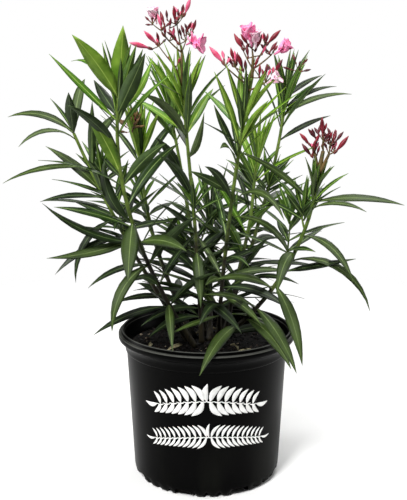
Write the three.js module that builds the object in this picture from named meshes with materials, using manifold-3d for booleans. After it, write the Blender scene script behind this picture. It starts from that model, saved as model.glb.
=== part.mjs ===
// A potted oleander: ten slender stems rise from a nursery pot, each ending in an upright tuft of
// narrow leaves, with whorls of longer leaves down its length and flower heads on the tallest stems.
// Millimetres, +Z up, the origin at the centre of the pot's flat underside, -Y towards the viewer.
import * as THREE from "three";
import { mergeVertices } from "three/addons/utils/BufferGeometryUtils.js";
import Module from "manifold-3d";

const wasm = await Module();
wasm.setup();

// Driving dimensions of the pot and the soil in it
const POT_HEIGHT = 215;
const RIM_RADIUS = 127;
const FOOT_RADIUS = 98;
const BODY_LOW_RADIUS = 106.5;
const BODY_TOP_RADIUS = 115.8;
const WALL = 2.2;
const BASE_THICKNESS = 4;
const COLLAR_HEIGHT = 29;
const LIP_DEPTH = 15;
const POT_FACETS = 32;
const DRAIN_HOLES = 8;
const DRAIN_WIDTH = 15;
const DRAIN_HEIGHT = 9;
const SOIL_LEVEL = 190;
const SOIL_GAP = 1.2; // between the soil's corners and the round wall

// Driving dimensions of the plant
const STEM_FOOT_RADIUS = 4.4;
const STEM_TIP_RADIUS = 2.4;
const ROOT_FLARE = 2.2;
const STEM_SIDES = 6;
const STEM_STEPS = 8;
const GAP = 0.4; // between solids that touch

// Each stem rises from its foot in the soil, bends round its knee and ends at its tip. Every place is a
// heading round the pot (0 is +X, 90 is +Y), a distance from the pot's axis and, past the foot, a height.
// low, mid and tuft are the shares of its length where those leaves begin.
const STEMS = {
  far_left: { foot: [176, 26], knee: [182, 121, 342], tip: [180, 184, 492], low: 0.4, mid: 0.6, tuft: 0.84 },
  left: { foot: [231, 26], knee: [201, 146, 385], tip: [219, 143, 540], low: 0.27, mid: 0.54, tuft: 0.8 },
  withered: { foot: [130, 28], knee: [138, 138, 339], tip: [138, 133, 474], low: 0.34, mid: 0.56, tuft: 0.8 },
  tall: { foot: [162, 7], knee: [185, 16, 384], tip: [139, 46, 556], low: 0.2, mid: 0.5, tuft: 0.8 },
  back: { foot: [92, 29], knee: [102, 112, 364], tip: [115, 138, 531], low: 0.3, mid: 0.55, tuft: 0.82 },
  front: { foot: [340, 18], knee: [301, 46, 371], tip: [304, 102, 566], low: 0.2, mid: 0.48, tuft: 0.76 },
  thin: { foot: [26, 27], knee: [31, 77, 345], tip: [34, 89, 460], low: 0.34, mid: 0.56, tuft: 0.8 },
  right_back: { foot: [60, 34], knee: [48, 146, 355], tip: [44, 169, 546], low: 0.3, mid: 0.54, tuft: 0.8 },
  right: { foot: [279, 24], knee: [342, 146, 292], tip: [336, 161, 450], low: 0.3, mid: 0.6, tuft: 0.9 },
  short_back: { foot: [72, 15], knee: [84, 80, 280], tip: [86, 112, 352], low: 0.26, mid: 0.52, tuft: 0.8 },
};

// The upright tuft of young leaves: how high it stands over its stem's tip, and how wide it is
const TUFTS = {
  far_left: { height: 58, width: 84 },
  left: { height: 92, width: 120 },
  withered: { height: 70, width: 84 },
  tall: { height: 40, width: 110 },
  back: { height: 58, width: 84 },
  front: { height: 8, width: 116 },
  thin: { height: 70, width: 70 },
  right_back: { height: 56, width: 100 },
  right: { height: 6, width: 60 },
  short_back: { height: 64, width: 110 },
};

// The flower heads: how far over their stem's tip each starts, its height and width, and its lean in x
const FLOWER_HEADS = {
  tall: { start: 46, height: 62, width: 108, lean: -4 },
  front: { start: 12, height: 50, width: 108, lean: 4 },
  right: { start: 8, height: 58, width: 74, lean: 10 },
};

// The long leaves that make the outline: the stem and the level of leaves that each belongs to, the share
// of the stem's length that it grows from, the way it points, its slope up from level at its foot, the
// angle that it bends down through on its way to the tip, and its length
const OUTLINE_LEAVES = [
  { stem: "far_left", level: "tuft", share: 0.98, heading: 170, rise: 46, bend: 65, length: 105 },
  { stem: "far_left", level: "tuft", share: 0.95, heading: 230, rise: 35, bend: 77, length: 108 },
  { stem: "far_left", level: "mid", share: 0.8, heading: 179, rise: 14, bend: 43, length: 134 },
  { stem: "far_left", level: "mid", share: 0.72, heading: 170, rise: 48, bend: 26, length: 103 },
  { stem: "far_left", level: "low", share: 0.52, heading: 208, rise: 0, bend: 44, length: 117 },
  { stem: "left", level: "tuft", share: 0.9, heading: 187, rise: 48, bend: 0, length: 118 },
  { stem: "left", level: "mid", share: 0.6, heading: 262, rise: 20, bend: 35, length: 118 },
  { stem: "left", level: "low", share: 0.44, heading: 195, rise: -19, bend: -19, length: 127 },
  { stem: "left", level: "low", share: 0.33, heading: 215, rise: -17, bend: 80, length: 114 },
  { stem: "withered", level: "mid", share: 0.62, heading: 130, rise: 20, bend: 35, length: 118 },
  { stem: "back", level: "mid", share: 0.74, heading: 95, rise: 30, bend: 35, length: 118 },
  { stem: "back", level: "low", share: 0.48, heading: 120, rise: 8, bend: 30, length: 118 },
  { stem: "front", level: "mid", share: 0.66, heading: 280, rise: 24, bend: 30, length: 118 },
  { stem: "short_back", level: "low", share: 0.48, heading: 100, rise: 0, bend: 40, length: 112 },
  { stem: "right_back", level: "tuft", share: 0.9, heading: 7, rise: 39, bend: 46, length: 112 },
  { stem: "right_back", level: "mid", share: 0.62, heading: 70, rise: 25, bend: 30, length: 112 },
  { stem: "right", level: "mid", share: 0.84, heading: 347, rise: 14, bend: 31, length: 122 },
  { stem: "right", level: "mid", share: 0.69, heading: 307, rise: 10, bend: 70, length: 115 },
  { stem: "right", level: "low", share: 0.56, heading: 333, rise: 20, bend: 95, length: 144 },
  { stem: "right", level: "low", share: 0.5, heading: 336, rise: 13, bend: 0, length: 102 },
  { stem: "right", level: "low", share: 0.42, heading: 290, rise: -22, bend: 47, length: 126 },
];
const MASS_CORE = 15; // how far a mass reaches round its stem between its arms

// The levels of leaves on a stem: where each ends, how far its arms reach, how much they rise for each
// millimetre out, and how long the arms on the pot's side are beside the outer ones
const LEVELS = [
  { level: "mid", end: "tuft", reach: 92, lift: 0.35, inner: 0.6 },
  { level: "low", end: "mid", reach: 96, lift: -0.05, inner: 0.4 },
];
const LEVEL_GAP = 0.02;

const LEAF_WIDTH = 20;
const LEAF_THICKNESS = 3;
const LEAF_STEPS = 4;

const BLACK_PLASTIC = { color: 0x141514, roughness: 0.4, metalness: 0 };
const SOIL = { color: 0x1c1512, roughness: 0.95, metalness: 0 };
const BARK = { color: 0x5c6238, roughness: 0.75, metalness: 0 };
const YOUNG_LEAF = { color: 0x4f7d20, roughness: 0.5, metalness: 0 };
const OLD_LEAF = { color: 0x3a5a2c, roughness: 0.55, metalness: 0 };
const FLOWER = { color: 0xc23a58, roughness: 0.6, metalness: 0 };

const radians = THREE.MathUtils.degToRad;

// The point at a heading and a distance from the pot's axis, at a height.
function polar(heading, reach, height) {
  return new THREE.Vector3(reach * Math.cos(radians(heading)), reach * Math.sin(radians(heading)), height);
}

// A seeded random number generator, the same each run.
function seeded(seed) {
  let state = seed;
  return () => {
    state = (state * 1664525 + 1013904223) % 4294967296;
    return state / 4294967296;
  };
}

// A closed mesh from rings of points, each ring the same count, with a fan over each end.
function loft(rings, bottom, top) {
  const sides = rings[0].length;
  const points = [bottom, ...rings.flat(), top];
  const last = points.length - 1;
  const at = (ring, side) => 1 + ring * sides + (side % sides);
  const faces = [];
  for (let side = 0; side < sides; side += 1) {
    faces.push(0, at(0, side + 1), at(0, side));
    for (let ring = 0; ring + 1 < rings.length; ring += 1) {
      faces.push(at(ring, side), at(ring, side + 1), at(ring + 1, side + 1));
      faces.push(at(ring, side), at(ring + 1, side + 1), at(ring + 1, side));
    }
    faces.push(last, at(rings.length - 1, side), at(rings.length - 1, side + 1));
  }
  return new THREE.BufferGeometry().setFromPoints(points).setIndex(faces);
}

// A three.js geometry as a manifold-3d solid, and back.
function solidOf(geometry) {
  const bare = geometry.clone();
  bare.deleteAttribute("normal");
  bare.deleteAttribute("uv");
  const merged = mergeVertices(bare, 1e-3);
  return new wasm.Manifold(new wasm.Mesh({
    numProp: 3,
    vertProperties: merged.attributes.position.array,
    triVerts: new Uint32Array(merged.index.array),
  }));
}

function geometryOf(solid) {
  const mesh = solid.getMesh();
  return new THREE.BufferGeometry()
    .setAttribute("position", new THREE.BufferAttribute(mesh.vertProperties, 3))
    .setIndex(new THREE.BufferAttribute(mesh.triVerts, 1));
}

// The largest of the bodies that a cut leaves.
function largestBody(solid) {
  return solid.decompose().reduce((a, b) => (a.volume() > b.volume() ? a : b));
}

const plant = new THREE.Group();

function addPart(name, geometry, finish) {
  const mesh = new THREE.Mesh(geometry, new THREE.MeshStandardMaterial({ ...finish, flatShading: true }));
  mesh.name = name;
  plant.add(mesh);
}

// The pot: a tapered wall with a collar and a rolled lip, a flat base, and drain holes round its foot
const LIP_FOOT = POT_HEIGHT - LIP_DEPTH;
const COLLAR_FOOT = POT_HEIGHT - COLLAR_HEIGHT;
const COLLAR_RADIUS = BODY_TOP_RADIUS + 3.2;
const CORNER_HEIGHT = 12;

function turned(outline, facets) {
  const profile = outline.map(([radius, height]) => new THREE.Vector2(radius, height));
  return new THREE.LatheGeometry(profile, facets).rotateX(Math.PI / 2);
}

function potSolid() {
  const wall = solidOf(turned([
    [0, 0],
    [FOOT_RADIUS, 0],
    [BODY_LOW_RADIUS - 1.5, CORNER_HEIGHT / 2],
    [BODY_LOW_RADIUS, CORNER_HEIGHT],
    [BODY_TOP_RADIUS, COLLAR_FOOT - 3],
    [COLLAR_RADIUS, COLLAR_FOOT],
    [COLLAR_RADIUS + 0.8, LIP_FOOT - 2],
    [RIM_RADIUS, LIP_FOOT],
    [RIM_RADIUS, POT_HEIGHT - 8],
    [RIM_RADIUS - 2.5, POT_HEIGHT - 1.5],
    [RIM_RADIUS - 5.5, POT_HEIGHT],
    [RIM_RADIUS - 8.5, POT_HEIGHT - 2],
    [COLLAR_RADIUS - WALL, COLLAR_FOOT + 2],
    [BODY_TOP_RADIUS - WALL, COLLAR_FOOT - 3],
    [BODY_LOW_RADIUS - WALL, CORNER_HEIGHT],
    [BODY_LOW_RADIUS - WALL - 3, BASE_THICKNESS],
    [0, BASE_THICKNESS],
  ], POT_FACETS));
  const holes = Array.from({ length: DRAIN_HOLES }, (_, i) => {
    const turn = radians((360 / DRAIN_HOLES) * (i + 0.6));
    const hole = new THREE.BoxGeometry(2 * (BODY_LOW_RADIUS - FOOT_RADIUS), DRAIN_WIDTH, 2 * DRAIN_HEIGHT);
    return solidOf(hole.translate(BODY_LOW_RADIUS + 1, 0, 0).rotateZ(turn));
  });
  return holes.reduce((pot, hole) => pot.subtract(hole), wall);
}

addPart("pot", geometryOf(potSolid()), BLACK_PLASTIC);
addPart("soil", turned([
  [0, BASE_THICKNESS + GAP],
  [BODY_LOW_RADIUS - WALL - 3 - SOIL_GAP, BASE_THICKNESS + GAP],
  [BODY_LOW_RADIUS - WALL - SOIL_GAP, CORNER_HEIGHT],
  [BODY_TOP_RADIUS - WALL - SOIL_GAP, SOIL_LEVEL - 4],
  [BODY_TOP_RADIUS - WALL - SOIL_GAP, SOIL_LEVEL],
  [0, SOIL_LEVEL],
], POT_FACETS / 2), SOIL);

// The stems: each follows a curve from the soil round its knee to its tip, in level rings
function stemCurve({ foot, knee, tip }) {
  return new THREE.QuadraticBezierCurve3(polar(...foot, SOIL_LEVEL + GAP), polar(...knee), polar(...tip));
}

function stemGeometry(stem, grow) {
  const curve = stemCurve(stem);
  const head = curve.getPoint(1).add(new THREE.Vector3(0, 0, grow));
  const rings = [];
  for (let step = 0; step <= STEM_STEPS; step += 1) {
    const share = step / STEM_STEPS;
    const centre = share < 1 ? curve.getPoint(share) : head;
    const along = curve.getTangent(share);
    const lean = new THREE.Vector3(along.x, along.y, 0);
    const stretch = 1 / Math.max(along.z, 0.35) - 1;
    const radius = THREE.MathUtils.lerp(STEM_FOOT_RADIUS, STEM_TIP_RADIUS, share)
      + ROOT_FLARE * Math.exp(-share * 25) + grow;
    rings.push(Array.from({ length: STEM_SIDES }, (_, side) => {
      const spoke = polar((360 * side) / STEM_SIDES, radius, 0);
      const stretched = lean.clone().multiplyScalar((stretch * spoke.dot(lean)) / (lean.lengthSq() + 1e-9));
      return spoke.add(stretched).add(centre);
    }));
  }
  return loft(rings, curve.getPoint(0), head);
}

for (const [name, stem] of Object.entries(STEMS)) {
  addPart(`stem_${name}`, stemGeometry(stem, 0), BARK);
}
const stemChannels = Object.values(STEMS).map((stem) => solidOf(stemGeometry(stem, GAP)));

// Each stem's leaves keep to its own side of the planes halfway between it and the other stems, which
// lean with the stems. The cell of a stem is the space that this leaves it.
const CELL_SIZE = 2000;
const CELL_SHARES = [0.45, 0.95];

function cellOf(stem) {
  const own = CELL_SHARES.map((share) => stemCurve(stem).getPoint(share));
  return Object.values(STEMS).filter((other) => other !== stem).map((other) => {
    const theirs = CELL_SHARES.map((share) => stemCurve(other).getPoint(share));
    const middles = own.map((point, i) => point.clone().lerp(theirs[i], 0.5));
    const along = middles[1].clone().sub(middles[0]).normalize();
    const across = theirs[0].clone().add(theirs[1]).sub(own[0]).sub(own[1]);
    const normal = across.addScaledVector(along, -across.dot(along)).normalize();
    const turn = new THREE.Quaternion().setFromUnitVectors(new THREE.Vector3(1, 0, 0), normal);
    const centre = middles[0].addScaledVector(normal, -(CELL_SIZE + GAP) / 2);
    return solidOf(new THREE.BoxGeometry(CELL_SIZE, CELL_SIZE, CELL_SIZE)
      .applyQuaternion(turn).translate(centre.x, centre.y, centre.z));
  }).reduce((cell, half) => cell.intersect(half));
}

// A ring of points round a centre, alternately out along an arm of leaves and back in the gap beside it.
// The arms that point away from the pot are the longest, and each arm is of its own length.
const ARMS = 6;

function starRing(centre, { reach, lift, inner, core, turn }, random) {
  const outward = Math.atan2(centre.y, centre.x);
  return Array.from({ length: 2 * ARMS }, (_, side) => {
    const angle = (Math.PI * side) / ARMS + turn;
    const facing = 0.5 + 0.5 * Math.cos(angle - outward);
    const arm = reach * THREE.MathUtils.lerp(inner, 1, facing) * (0.84 + 0.32 * random());
    const distance = side % 2 ? core : Math.max(arm, core);
    const height = side % 2 ? 0 : lift * arm;
    return new THREE.Vector3(distance * Math.cos(angle), distance * Math.sin(angle), height).add(centre);
  });
}

// A mass of leaves along a stretch of a stem, whose whorls stand out in uneven arms.
const MASS_PROFILE = [[0.08, 0.5], [0.5, 1], [0.92, 0.62]];

function massGeometry({ curve, from, to, reach, lift, inner }, turn, random) {
  const rings = MASS_PROFILE.map(([share, width]) => {
    const centre = curve.getPoint(THREE.MathUtils.lerp(from, to, share));
    return starRing(centre, { reach: reach * width, lift, inner, core: MASS_CORE, turn }, random);
  });
  return loft(rings, curve.getPoint(from), curve.getPoint(to));
}

// A tuft of leaves or a head of flowers: its arms spread as they rise and stand over its middle.
const TUFT_PROFILE = [[0.06, 0.22], [0.45, 0.7], [0.8, 1]];

function tuftGeometry({ foot, head, width }, turn, random) {
  const rings = TUFT_PROFILE.map(([share, spread]) => {
    const core = (width / 8) * (0.6 + spread);
    return starRing(foot.clone().lerp(head, share), {
      reach: (width / 2) * spread, lift: 0.3 * share, inner: 1, core, turn,
    }, random);
  });
  return loft(rings, foot, head);
}

// One long leaf: a thin pointed blade that leaves its stem at a slope and bends down towards its tip
function bladeGeometry({ stem, share, heading, rise, bend, length }) {
  const step = length / LEAF_STEPS;
  const stepAt = (along, size) => {
    const slope = radians(rise - bend * along);
    return polar(heading, size * Math.cos(slope), size * Math.sin(slope));
  };
  const root = stemCurve(STEMS[stem]).getPoint(share);
  const side = polar(heading + 90, LEAF_WIDTH / 2, 0);
  const thickness = new THREE.Vector3(0, 0, LEAF_THICKNESS / 2);
  const spine = root.clone().add(stepAt(0, step / 2));
  const rings = [];
  for (let ring = 0; ring < LEAF_STEPS; ring += 1) {
    const half = side.clone().multiplyScalar(Math.sin((Math.PI * (ring + 0.5)) / LEAF_STEPS) ** 0.7);
    const offsets = [half, thickness, half.clone().negate(), thickness.clone().negate()];
    rings.push(offsets.map((offset) => offset.clone().add(spine)));
    spine.add(stepAt((ring + 1) / LEAF_STEPS, ring + 1 < LEAF_STEPS ? step : step / 2));
  }
  return loft(rings, root, spine);
}

// Every leafy solid is kept to its stem's cell, joined with its long leaves and cut clear of the stems
const place = seeded(11);

function addLeafy(name, stem, level, geometry, finish) {
  const leaves = OUTLINE_LEAVES.filter((leaf) => leaf.stem === stem && leaf.level === level);
  const whole = leaves.reduce((mass, leaf) => mass.add(solidOf(bladeGeometry(leaf))), solidOf(geometry));
  const cut = stemChannels.reduce((mass, channel) => mass.subtract(channel), whole.intersect(cells[stem]));
  addPart(`${name}_${stem}`, geometryOf(largestBody(cut)), finish);
}

const cells = Object.fromEntries(Object.entries(STEMS).map(([name, stem]) => [name, cellOf(stem)]));

for (const [name, { start, height, width, lean }] of Object.entries(FLOWER_HEADS)) {
  const foot = stemCurve(STEMS[name]).getPoint(1).add(new THREE.Vector3(lean / 2, 0, start));
  const head = foot.clone().add(new THREE.Vector3(lean / 2, 0, height));
  addLeafy("flower_head", name, "flowers", tuftGeometry({ foot, head, width }, place(), place), FLOWER);
}

for (const [name, { height, width }] of Object.entries(TUFTS)) {
  const curve = stemCurve(STEMS[name]);
  const foot = curve.getPoint(STEMS[name].tuft);
  const head = curve.getPoint(1).add(new THREE.Vector3(0, 0, height));
  addLeafy("leaf_tuft", name, "tuft", tuftGeometry({ foot, head, width }, place(), place), YOUNG_LEAF);
}

for (const { level, end, reach, lift, inner } of LEVELS) {
  for (const [name, stem] of Object.entries(STEMS)) {
    const stretch = { curve: stemCurve(stem), from: stem[level], to: stem[end] - LEVEL_GAP };
    const geometry = massGeometry({ ...stretch, reach, lift, inner }, place(), place);
    addLeafy(`leaf_mass_${level}`, name, level, geometry, OLD_LEAF);
  }
}

export default plant;
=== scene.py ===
"""A flowering oleander in a black nursery pot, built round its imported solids.

Leaves, buds and twigs are grown from the stems by a seeded rule, and joined into one mesh for each kind.
Lengths are in metres and angles in degrees. Heading 0 points to +X and heading 90 to +Y, away from the
front of the pot.
"""
import math
import random

import bpy
import numpy as np
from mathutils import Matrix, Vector


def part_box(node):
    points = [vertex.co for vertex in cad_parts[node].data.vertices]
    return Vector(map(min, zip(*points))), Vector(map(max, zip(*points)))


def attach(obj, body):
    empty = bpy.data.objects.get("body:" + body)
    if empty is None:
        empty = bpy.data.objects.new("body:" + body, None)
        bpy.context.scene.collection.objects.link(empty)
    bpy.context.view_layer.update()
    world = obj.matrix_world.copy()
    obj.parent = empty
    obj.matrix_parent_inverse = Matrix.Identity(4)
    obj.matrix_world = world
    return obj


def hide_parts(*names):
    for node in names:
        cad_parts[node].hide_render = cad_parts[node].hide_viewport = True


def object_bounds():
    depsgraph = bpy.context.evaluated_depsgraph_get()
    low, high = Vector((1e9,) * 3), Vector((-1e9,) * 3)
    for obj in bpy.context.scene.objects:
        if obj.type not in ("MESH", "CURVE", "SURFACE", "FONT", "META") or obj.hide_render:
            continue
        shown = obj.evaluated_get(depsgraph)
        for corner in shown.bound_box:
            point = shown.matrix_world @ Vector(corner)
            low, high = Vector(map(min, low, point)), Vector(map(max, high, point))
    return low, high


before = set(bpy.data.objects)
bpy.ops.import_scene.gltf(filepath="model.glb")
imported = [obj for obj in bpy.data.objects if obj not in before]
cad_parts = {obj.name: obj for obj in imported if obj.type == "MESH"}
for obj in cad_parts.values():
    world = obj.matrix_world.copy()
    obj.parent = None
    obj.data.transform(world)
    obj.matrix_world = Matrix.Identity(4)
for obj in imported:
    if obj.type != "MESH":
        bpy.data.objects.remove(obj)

CAD_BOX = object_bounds()
MM = 0.001
UP = np.array([0.0, 0.0, 1.0])

POT_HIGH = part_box("pot")[1]
RIM_RADIUS = POT_HIGH.x
POT_HEIGHT = POT_HIGH.z
SOIL_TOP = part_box("soil")[1].z
SOIL_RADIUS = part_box("soil")[1].x

STEM_NAMES = sorted(name[5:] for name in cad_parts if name.startswith("stem_"))


# ---------------------------------------------------------------- finishes

def rgb(code):
    """A colour written as six hex digits, in the linear values that a shader takes."""
    channels = [int(code[i:i + 2], 16) / 255 for i in (0, 2, 4)]
    return tuple(c / 12.92 if c <= 0.04045 else ((c + 0.055) / 1.055) ** 2.4 for c in channels) + (1.0,)


class Field:
    """A value that varies over a surface. Arithmetic on it adds the Math nodes to its finish."""

    def __init__(self, finish, socket):
        self.finish, self.socket = finish, socket

    def math(self, operation, *values):
        """The Field that a Math node gives from these values or Fields."""
        return self.finish.node("ShaderNodeMath", {"operation": operation}, dict(enumerate(values)))

    def __add__(self, other):
        return self.math("ADD", self, other)

    def __sub__(self, other):
        return self.math("SUBTRACT", self, other)

    def __rsub__(self, other):
        return self.math("SUBTRACT", other, self)

    def __mul__(self, other):
        return self.math("MULTIPLY", self, other)

    __radd__, __rmul__ = __add__, __mul__

    def sine(self):
        """Its sine, taking it as radians."""
        return self.math("SINE", self)

    def size(self):
        """How far it is from 0."""
        return self.math("ABSOLUTE", self)

    def between(self, low, high):
        """0 at low, 1 at high, and held there outside them."""
        return self.finish.node("ShaderNodeMapRange", {}, {0: self, 1: low, 2: high})


class Finish:
    """A material and the shader at its end. Plain values are set on the shader itself."""

    def __init__(self, name, **values):
        self.material = bpy.data.materials.new(name)
        self.material.use_nodes = True
        self.tree = self.material.node_tree
        self.shader = self.tree.nodes["Principled BSDF"]
        self.set(**values)

    def put(self, socket, value):
        """Links a Field to a socket, or sets a plain value on it."""
        if isinstance(value, Field):
            self.tree.links.new(value.socket, socket)
        else:
            socket.default_value = value

    def set(self, **values):
        """Sets or links the shader's own sockets, named with _ for each space."""
        for name, value in values.items():
            self.put(self.shader.inputs[name.replace("_", " ")], value)

    def node(self, kind, settings, inputs, output=0):
        """Adds a node of one kind: its settings first, then the values or links of its sockets."""
        node = self.tree.nodes.new(kind)
        for name, value in settings.items():
            setattr(node, name, value)
        for name, value in inputs.items():
            self.put(node.inputs[name], value)
        return Field(self, node.outputs[output])

    def place(self):
        """Where a point is on the piece, in metres."""
        return self.node("ShaderNodeTexCoord", {}, {}, "Object")

    def across_and_along(self):
        """The two directions of the piece's own UV map, each from 0 to 1."""
        uv = self.node("ShaderNodeTexCoord", {}, {}, "UV")
        return [self.node("ShaderNodeSeparateXYZ", {}, {0: uv}, axis) for axis in (0, 1)]

    def noise(self, scale, detail, stretch=(1, 1, 1)):
        """Soft noise with scale lumps to the metre, drawn out along an axis by a stretch under 1."""
        where = self.node("ShaderNodeMapping", {}, {"Vector": self.place(), "Scale": stretch})
        return self.node("ShaderNodeTexNoise", {}, {"Vector": where, "Scale": scale, "Detail": detail})

    def mix(self, share, first, second):
        """The first colour where share is 0 and the second where it is 1."""
        return self.node("ShaderNodeMix", {"data_type": "RGBA"}, {0: share, 6: first, 7: second}, 2)

    def bump(self, height, distance, strength):
        """Raises the surface by a share of distance where height is more."""
        relief = {"Height": height, "Distance": distance, "Strength": strength}
        self.set(Normal=self.node("ShaderNodeBump", {}, relief))


VEIN_TURNS = 150  # the side veins from a leaf's foot to its tip, in radians
VEIN_SLANT = 9  # how far they lean to the tip on their way from the rib to the edge, in radians


def leaf_finish(name, colour, pale, roughness):
    """A leathery leaf's upper face: paler by the rib, with fine slanting side veins and soft blotches."""
    finish = Finish(name, Specular_IOR_Level=0.28)
    across, along = finish.across_and_along()
    from_rib = (across - 0.5).size() * 2
    slant = ((along * VEIN_TURNS - from_rib * VEIN_SLANT).sine() + 1) * 0.5
    blotch = finish.noise(38, 2).between(0.35, 0.7)
    edge = from_rib.between(0.0, 0.75)
    tone = (1 - edge) * 0.35 + blotch * 0.4 + slant * 0.11
    finish.set(Base_Color=finish.mix(tone, rgb(colour), rgb(pale)),
               Roughness=blotch * 0.12 + roughness)
    finish.bump(slant * 0.5 + blotch, 0.12 * MM, 0.5)
    return finish.material


def underside_finish(name, colour, pale):
    """A leaf's dull, paler underside."""
    finish = Finish(name, Specular_IOR_Level=0.25)
    blotch = finish.noise(60, 2).between(0.3, 0.7)
    finish.set(Base_Color=finish.mix(blotch, rgb(colour), rgb(pale)), Roughness=blotch * 0.1 + 0.62)
    return finish.material


def plain_finish(name, colour, pale, roughness, scale=80):
    """A soft, slightly uneven surface, such as a petal, a bud or a stalk."""
    finish = Finish(name, Specular_IOR_Level=0.4)
    blotch = finish.noise(scale, 3).between(0.3, 0.7)
    finish.set(Base_Color=finish.mix(blotch, rgb(colour), rgb(pale)), Roughness=blotch * 0.15 + roughness)
    finish.bump(blotch, 0.1 * MM, 0.4)
    return finish.material


def bark_finish():
    """A shoot's skin: green near the tip, and dark brown with lengthwise cracks low down."""
    finish = Finish("bark", Specular_IOR_Level=0.3)
    along = finish.across_and_along()[1]
    crack = finish.noise(420, 4, (1, 1, 0.12)).between(0.35, 0.75)
    patch = finish.noise(70, 3).between(0.3, 0.7)
    green = finish.mix(patch, rgb("3f561a"), rgb("6b8032"))
    woody = finish.mix(crack, rgb("0f0c05"), rgb("2f2915"))
    age = (along + patch * 0.22 - 0.11).between(0.3, 0.66)
    finish.set(Base_Color=finish.mix(age, woody, green), Roughness=crack * 0.2 + 0.55)
    finish.bump(crack * (1 - age) + patch * 0.4, 0.5 * MM, 0.8)
    return finish.material


# The lip's two painted highlight lines, greyer bands on its edges: the height of each, and how fast it
# fades above and below (per metre).
LIP_HIGHLIGHT_EDGES = ((0.2142, 1600), (0.2092, 900))


def pot_finish():
    """Black moulded plastic with a fine grain, a faint drag of dust low down, and painted highlight lines
    on its lip's two edges.
    """
    finish = Finish("black_plastic", Specular_IOR_Level=0.03)
    grain = finish.noise(900, 2)
    streak = finish.noise(16, 4, (1, 1, 0.35)).between(0.45, 0.8)
    height = finish.node("ShaderNodeSeparateXYZ", {}, {0: finish.place()}, 2)
    low = 1 - height.between(0.02, 0.12)
    dust = streak * (low * 0.8 + 0.12)
    # Two narrow bands on the lip, lightened to pale grey: painted highlight lines.
    bead_highlight, brim_highlight = [(1 - (height - edge).size() * fade).between(0, 1) for edge, fade in LIP_HIGHLIGHT_EDGES]
    moulded = finish.mix(dust, rgb("020202"), rgb("131410"))
    finish.set(Base_Color=finish.mix((bead_highlight + brim_highlight) * 0.8, moulded, rgb("5c5d58")),
               Roughness=dust * 0.3 + (streak * 0.06 + 0.3))
    finish.bump(grain * 0.25 + streak, 0.15 * MM, 0.25)
    return finish.material


def soil_finish():
    """Damp potting mix, nearly black, with brown flecks of bark."""
    finish = Finish("potting_mix", Specular_IOR_Level=0.12)
    clod = finish.noise(260, 6)
    fleck = finish.noise(520, 2).between(0.6, 0.72)
    dark = finish.mix(clod.between(0.35, 0.7), rgb("010101"), rgb("0b0705"))
    finish.set(Base_Color=finish.mix(fleck * 0.35, dark, rgb("33231a")), Roughness=clod * 0.3 + 0.65)
    finish.bump(clod, 2.5 * MM, 1.0)
    return finish.material


# The kinds of leaf, from the youngest: the upper face, its pale tone and roughness, and then the underside
# and its pale tone.
LEAF_KINDS = {
    # The youngest kind is the young leaves' own paler green, brightened on both faces as painted light
    # shining through them.
    "spring_lit_through": ("3f6c08", "7ba21e", 0.40, "4c7014", "769630"),
    "fresh": ("2a5204", "527812", 0.42, "2f4c0e", "4f6e24"),
    "green": ("132804", "2f4a10", 0.43, "213410", "3d5422"),
    "deep": ("0a1703", "1d300b", 0.45, "19280b", "314220"),
    "dull": ("1c2c08", "43581a", 0.50, "33421e", "54643a"),
}
LEAF_FINISHES = {
    kind: (leaf_finish(f"leaf_{kind}", *tones[:3]), underside_finish(f"underside_{kind}", *tones[3:]))
    for kind, tones in LEAF_KINDS.items()
}
RIB_FINISHES = {
    "spring_lit_through": plain_finish("rib_spring", "86a436", "a6be54", 0.5),
    "fresh": plain_finish("rib_fresh", "6a8a32", "8aa44a", 0.5),
    "green": plain_finish("rib_green", "587132", "7c9350", 0.5),
    "deep": plain_finish("rib_deep", "344720", "526636", 0.5),
    "dull": plain_finish("rib_dull", "485c2a", "6a7c44", 0.55),
}
BARK = bark_finish()


# ---------------------------------------------------------------- joined meshes

class Batch:
    """Many small shapes joined into one mesh, with a material for each face."""

    def __init__(self, name, materials):
        self.name, self.materials = name, materials
        self.points, self.faces, self.slots, self.maps = [], [], [], []
        self.count = 0

    def add(self, points, faces, slots=None, maps=None):
        """points is an array, and faces name points in it. maps holds each point's across and along."""
        self.points.append(points)
        self.faces.extend([[i + self.count for i in face] for face in faces])
        self.slots.extend(slots if slots is not None else [0] * len(faces))
        self.maps.append(maps if maps is not None else np.zeros((len(points), 2)))
        self.count += len(points)

    def build(self, slot, replaced=()):
        """Makes the joined piece. slot is not used, and replaced says which solids it stands in for."""
        mesh = bpy.data.meshes.new(self.name)
        mesh.from_pydata(np.concatenate(self.points).tolist(), [], self.faces)
        for material in self.materials:
            mesh.materials.append(material)
        mesh.polygons.foreach_set("material_index", self.slots)
        mesh.polygons.foreach_set("use_smooth", [True] * len(self.faces))
        corners = np.zeros(len(mesh.loops), dtype=np.int32)
        mesh.loops.foreach_get("vertex_index", corners)
        mesh.uv_layers.new(name="UVMap").data.foreach_set("uv", np.concatenate(self.maps)[corners].ravel())
        mesh.validate()
        piece = bpy.data.objects.new(self.name, mesh)
        bpy.context.scene.collection.objects.link(piece)
        keep(piece, replaced)


def keep(piece, replaced=()):
    """Says what a finished piece rides on, and hides the solids it stands in for."""
    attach(piece, "root")
    if replaced:
        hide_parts(*replaced)


def turned(vector, axis, degrees):
    """vector turned about a unit axis."""
    a = math.radians(degrees)
    return (vector * math.cos(a) + np.cross(axis, vector) * math.sin(a)
            + axis * (axis @ vector) * (1 - math.cos(a)))


def unit(vector):
    """vector at length 1."""
    return vector / np.linalg.norm(vector)


def direction(heading, rise):
    """The unit direction of a heading that climbs by rise from the level."""
    h, r = math.radians(heading), math.radians(rise)
    return np.array([math.cos(r) * math.cos(h), math.cos(r) * math.sin(h), math.sin(r)])


def heading_and_rise(way):
    """What direction() takes, from a unit direction."""
    return math.degrees(math.atan2(way[1], way[0])), math.degrees(math.asin(way[2]))


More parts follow.
